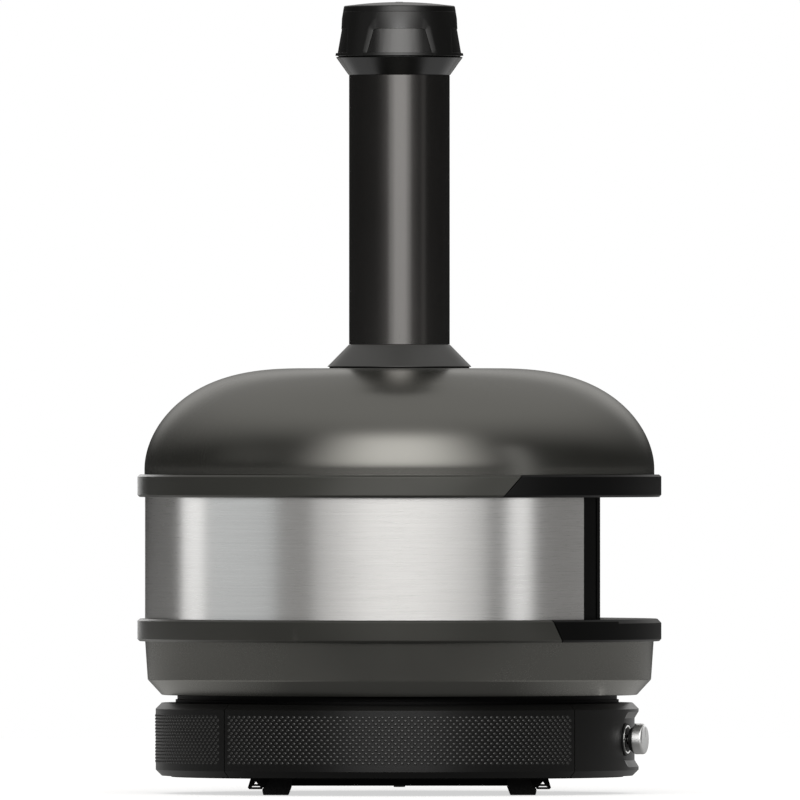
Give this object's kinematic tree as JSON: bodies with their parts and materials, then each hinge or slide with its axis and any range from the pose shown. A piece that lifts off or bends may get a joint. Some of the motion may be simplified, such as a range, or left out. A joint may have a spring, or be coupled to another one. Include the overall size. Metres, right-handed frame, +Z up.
{
  "type": "tabletop gas pizza oven",
  "caption": "Round tabletop gas pizza oven with an insulated dome, a recessed front mouth, push-and-turn gas knobs, a lift-off flue and a turning damper cap.",
  "frame": {"origin": "on the worktop, under the middle of the two trim rings", "axes": "+Z up along the flue, +X out through the mouth, -Y to the left of a cook who faces the mouth"},
  "size_m": [0.64, 0.64, 0.9668],
  "materials": {
    "gunmetal": "satin",
    "black_enamel": "satin",
    "flue_black": "satin",
    "collar_grey": "satin",
    "stainless": "satin",
    "casing_black": "matte",
    "chassis_black": "matte",
    "screw_black": "satin",
    "foot_rubber": "matte",
    "gasket_black": "matte",
    "heated_steel": "satin",
    "burner_steel": "satin",
    "brass": "satin",
    "valve_alloy": "satin",
    "polished_steel": "polished",
    "knob_chrome": "polished",
    "knob_black": "satin",
    "blanket": "matte",
    "baking_stone": "matte",
    "porcelain": "gloss",
    "lead_red": "satin",
    "igniter_white": "matte"
  },
  "bodies": {
    "oven": {"foot_front_left": "foot_rubber", "foot_front_right": "foot_rubber", "foot_rear_left": "foot_rubber", "foot_rear_right": "foot_rubber", "stand_hooks": "chassis_black", "underside_tray": "chassis_black", "centre_bolt": "screw_black", "base_screws": "screw_black", "base_bottom_plate": "chassis_black", "base_front_panel": "casing_black", "base_left_panel": "casing_black", "base_right_panel": "casing_black", "base_rear_panel": "casing_black", "base_top_plate": "chassis_black", "neck_ring": "black_enamel", "gas_inlet": "brass", "gas_manifold": "burner_steel", "gas_valve_left": "valve_alloy", "gas_valve_right": "valve_alloy", "piezo_igniters": "igniter_white", "ignition_leads": "lead_red", "igniter_electrodes": "porcelain", "burner_pipe_left": "burner_steel", "burner_pipe_right": "burner_steel", "burner_left": "burner_steel", "burner_right": "burner_steel", "knob_bezels": "knob_black", "bowl_shell": "gunmetal", "hearth_insulation": "blanket", "hearth_tray": "heated_steel", "pizza_stone": "baking_stone", "lower_trim_ring": "gunmetal", "landing_lip": "black_enamel", "steel_wall": "stainless", "wall_insulation": "blanket", "chamber_liner": "heated_steel", "mouth_frame": "black_enamel", "mouth_throat": "heated_steel", "mouth_screws": "screw_black", "upper_trim_ring": "gunmetal", "visor": "black_enamel", "dome_shell": "gunmetal", "dome_insulation": "blanket", "flue_gasket": "gasket_black", "flue_collar": "collar_grey", "flue_spigot": "heated_steel"},
    "knob_left_push": {"push_collar_left": "polished_steel"},
    "knob_left": {"valve_stem_left": "polished_steel", "knob_skirt_left": "knob_black", "knob_cap_left": "knob_chrome"},
    "knob_right_push": {"push_collar_right": "polished_steel"},
    "knob_right": {"valve_stem_right": "polished_steel", "knob_skirt_right": "knob_black", "knob_cap_right": "knob_chrome"},
    "flue": {"flue_pipe": "flue_black", "cap_funnel": "flue_black", "damper_sleeve": "flue_black"},
    "damper": {"damper_hood": "flue_black", "damper_lid": "flue_black", "cap_screw": "screw_black"}
  },
  "joints": [
    {"name": "knob_left_push", "type": "slide", "parent": "oven", "child": "knob_left_push", "axis": [-0.9588, 0.284, 0], "range_m": [0, 0.003], "stiffness_N_per_m": 800, "springref_m": -0.003},
    {"name": "knob_left_turn", "type": "hinge", "parent": "knob_left_push", "child": "knob_left", "pos_m": [0.28495, -0.08521, 0.0667], "axis": [0.9588, -0.284, 0], "range_deg": [0, 210]},
    {"name": "knob_right_push", "type": "slide", "parent": "oven", "child": "knob_right_push", "axis": [-0.9588, -0.284, 0], "range_m": [0, 0.003], "stiffness_N_per_m": 800, "springref_m": -0.003},
    {"name": "knob_right_turn", "type": "hinge", "parent": "knob_right_push", "child": "knob_right", "pos_m": [0.28495, 0.08521, 0.0667], "axis": [0.9588, 0.284, 0], "range_deg": [0, 210]},
    {"name": "flue_lift", "type": "slide", "parent": "oven", "child": "flue", "axis": [0, 0, 1], "range_m": [0, 0.06]},
    {"name": "damper_turn", "type": "hinge", "parent": "flue", "child": "damper", "pos_m": [0, 0, 0.93], "axis": [0, 0, 1], "range_deg": [0, 45]}
  ]
}
